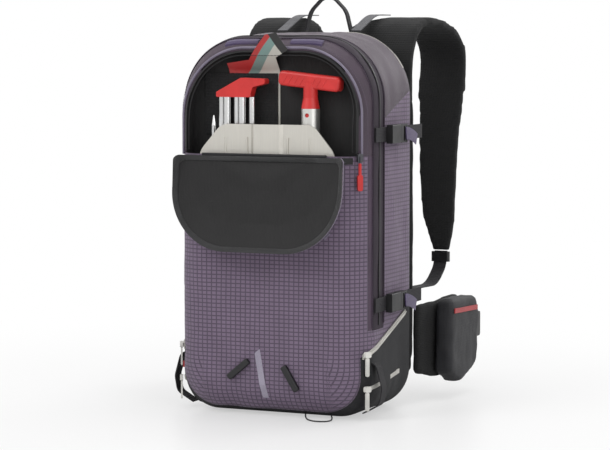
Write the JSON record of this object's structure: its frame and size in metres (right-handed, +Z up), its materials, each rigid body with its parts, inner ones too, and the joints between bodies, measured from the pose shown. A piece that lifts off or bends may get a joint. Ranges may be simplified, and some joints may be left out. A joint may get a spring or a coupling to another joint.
{
  "type": "ski backpack",
  "caption": "Arched ski touring backpack with a folded-down tool pocket flap, stowed shovel and probe, side compression straps, padded shoulder straps and hip belt.",
  "frame": {"origin": "centre of the flat base that the pack stands on", "axes": "+Z up, -Y out of the tool pocket, +Y towards the wearer, +X to the right as seen from the tool pocket"},
  "size_m": [0.3746, 0.4978, 0.5852],
  "materials": {
    "ripstop": "mauve ripstop with a dark grid",
    "plum_fabric": "plain plum woven fabric",
    "dark_plum": "very dark plum zip cover",
    "black_fabric": "black heavy fabric",
    "lining": "black lining cloth",
    "mesh": "black mesh",
    "padding": "black padded mesh and fabric",
    "flap_outer": "mauve ripstop, the flap's outside",
    "lilac": "lilac piping and tape",
    "purple_webbing": "purple webbing",
    "black_webbing": "black webbing and cord",
    "buckle_plastic": "black moulded plastic",
    "white_zip": "off-white zip tape",
    "red_zip": "red zip tape and tag",
    "slider_metal": "cast zip slider",
    "red_plastic": "red moulded plastic",
    "aluminium": "satin aluminium",
    "frame_plastic": "white plastic sheet",
    "paper": "printed card"
  },
  "bodies": {
    "pack": {"axe_cord_loop": "black_webbing", "axe_toggles": "buckle_plastic", "back_padding": "padding", "back_panel": "black_fabric", "back_zip": "white_zip", "base_panel": "black_fabric", "buckle_sockets": "buckle_plastic", "compression_webbing": "purple_webbing", "document_pocket": "mesh", "frame_sheet": "frame_plastic", "frame_stays": "aluminium", "front_panel": "ripstop", "grab_handle": "black_webbing", "leaflet": "paper", "load_lifters": "black_webbing", "lumbar_belt": "black_fabric", "pocket_hem": "lilac", "pocket_liner": "lining", "pocket_piping": "lilac", "pocket_zip": "black_webbing", "probe_grip": "red_plastic", "probe_tubes": "aluminium", "red_tag": "red_zip", "reflective_strip": "lilac", "shoulder_strap_left": "padding", "shoulder_strap_right": "padding", "shovel_grip": "red_plastic", "shovel_shaft": "aluminium", "side_panels": "ripstop", "side_pulls": "black_webbing", "side_sliders": "slider_metal", "side_zips": "white_zip", "ski_loops": "black_webbing", "strap_adjusters": "buckle_plastic", "strap_webbing": "black_webbing", "tool_sleeve": "lining", "top_tapes": "purple_webbing", "upper_panel": "plum_fabric", "zip_band": "dark_plum"},
    "flap": {"flap_shell": "flap_outer", "flap_lining": "lining", "flap_binding": "lining", "flap_piping": "lilac"},
    "pocket_slider": {"pocket_slider": "slider_metal"},
    "pocket_pull": {"pocket_pull": "red_plastic"},
    "clip_upper_right": {"clip_upper_right": "buckle_plastic"},
    "clip_upper_left": {"clip_upper_left": "buckle_plastic"},
    "clip_lower_right": {"clip_lower_right": "buckle_plastic"},
    "clip_lower_left": {"clip_lower_left": "buckle_plastic"},
    "belt_wing_right": {"belt_wing_right": "black_fabric", "belt_pouch_right": "black_fabric", "belt_zip_right": "red_zip", "belt_webbing_right": "black_webbing", "belt_buckle_right": "buckle_plastic"},
    "belt_wing_left": {"belt_wing_left": "black_fabric", "belt_pouch_left": "black_fabric", "belt_zip_left": "red_zip", "belt_webbing_left": "black_webbing", "belt_buckle_left": "buckle_plastic"},
    "shovel_blade": {"shovel_blade": "aluminium"}
  },
  "joints": [
    {"name": "flap_hinge", "type": "hinge", "parent": "pack", "child": "flap", "pos_m": [0, -0.104, 0.366], "axis": [1, 0, 0], "range_deg": [-176, 0]},
    {"name": "pocket_zip_slide", "type": "slide", "parent": "pack", "child": "pocket_slider", "axis": [0, 0, 1], "range_m": [0, 0.05]},
    {"name": "pocket_pull_swing", "type": "hinge", "parent": "pocket_slider", "child": "pocket_pull", "pos_m": [0.13664, -0.08548, 0.3553], "axis": [-0.6334, -0.7738, 0], "range_deg": [0, 90]},
    {"name": "clip_upper_right_slide", "type": "slide", "parent": "pack", "child": "clip_upper_right", "axis": [0, 1, 0], "range_m": [0, 0.022]},
    {"name": "clip_upper_left_slide", "type": "slide", "parent": "pack", "child": "clip_upper_left", "axis": [0, 1, 0], "range_m": [0, 0.022]},
    {"name": "clip_lower_right_slide", "type": "slide", "parent": "pack", "child": "clip_lower_right", "axis": [0, 1, 0], "range_m": [0, 0.022]},
    {"name": "clip_lower_left_slide", "type": "slide", "parent": "pack", "child": "clip_lower_left", "axis": [0, 1, 0], "range_m": [0, 0.022]},
    {"name": "belt_right_hinge", "type": "hinge", "parent": "pack", "child": "belt_wing_right", "pos_m": [0.142, 0.1186, 0], "axis": [0, 0, 1], "range_deg": [-55, 12]},
    {"name": "belt_left_hinge", "type": "hinge", "parent": "pack", "child": "belt_wing_left", "pos_m": [-0.142, 0.1186, 0], "axis": [0, 0, 1], "range_deg": [-12, 55]},
    {"name": "shovel_blade_slide", "type": "slide", "parent": "pack", "child": "shovel_blade", "axis": [0, 0, 1], "range_m": [0, 0.09]}
  ]
}
